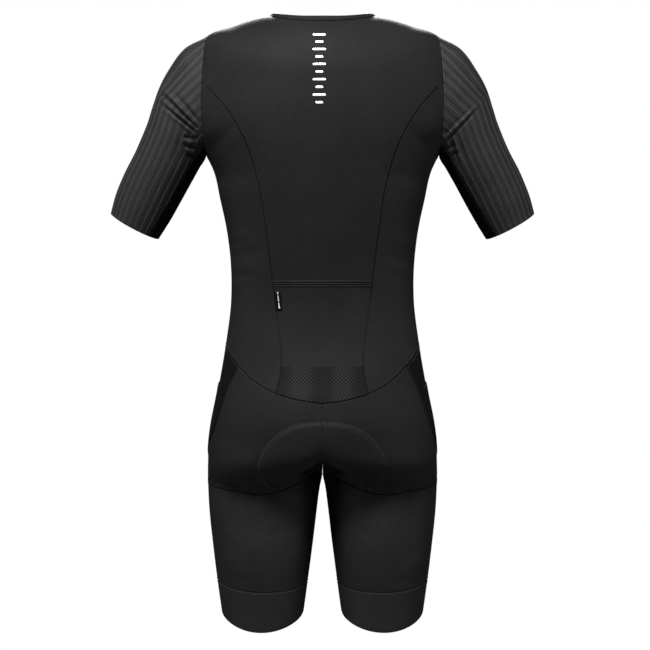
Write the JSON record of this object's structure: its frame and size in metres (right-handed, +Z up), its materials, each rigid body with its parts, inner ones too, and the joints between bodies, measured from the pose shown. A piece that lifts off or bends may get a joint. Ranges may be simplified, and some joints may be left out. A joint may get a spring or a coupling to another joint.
{
  "type": "triathlon suit",
  "caption": "One-piece short-sleeved triathlon suit standing open in its worn shape, with ribbed sleeves, back pocket, seat pad, leg bands and a front zip.",
  "frame": {"origin": "inside the suit, midway between the shoulder tips, where the wearer's shoulders carry it", "axes": "+X to the wearer's left, -Y the front, +Y the back, +Z up towards the neck"},
  "size_m": [0.6408, 0.2363, 0.9158],
  "materials": {
    "suit_cloth": "black fine stretch knit, soft sheen",
    "rib_cloth": "charcoal stretch knit with thin raised lengthwise ribs",
    "side_cloth": "deep black matt stretch knit",
    "mesh_cloth": "fine diamond mesh with small light dots",
    "elastic": "ribbed black elastic",
    "gripper_cloth": "dense charcoal leg band",
    "pad_foam": "brushed dark padding",
    "zip_tape": "black woven tape",
    "zip_teeth": "black moulded coil teeth",
    "zip_metal": "black lacquered metal"
  },
  "bodies": {
    "suit": {"back_centre": "suit_cloth", "back_side_L": "suit_cloth", "back_side_R": "suit_cloth", "front_L": "suit_cloth", "front_R": "suit_cloth", "gripper_L": "gripper_cloth", "gripper_R": "gripper_cloth", "hip_panel_L": "side_cloth", "hip_panel_R": "side_cloth", "hip_pocket_L": "side_cloth", "hip_pocket_R": "side_cloth", "label": "elastic", "leg_front_L": "suit_cloth", "leg_front_R": "suit_cloth", "neckband": "elastic", "pocket_band": "elastic", "pocket_mesh": "mesh_cloth", "pocket_panel": "suit_cloth", "seat_L": "suit_cloth", "seat_R": "suit_cloth", "seat_pad": "pad_foam", "sleeve_L": "rib_cloth", "sleeve_R": "rib_cloth", "thigh_back_L": "suit_cloth", "thigh_back_R": "suit_cloth", "underarm_L": "side_cloth", "underarm_R": "side_cloth", "zip_chain": "zip_teeth", "zip_slider": "zip_metal", "zip_tape_L": "zip_tape", "zip_tape_R": "zip_tape"},
    "pull": {"zip_pull": "zip_metal"}
  },
  "joints": [
    {"name": "zip_pull_swing", "type": "hinge", "parent": "suit", "child": "pull", "pos_m": [0, -0.06143, -0.04078], "axis": [-1, 0, 0], "range_deg": [0, 150]}
  ]
}
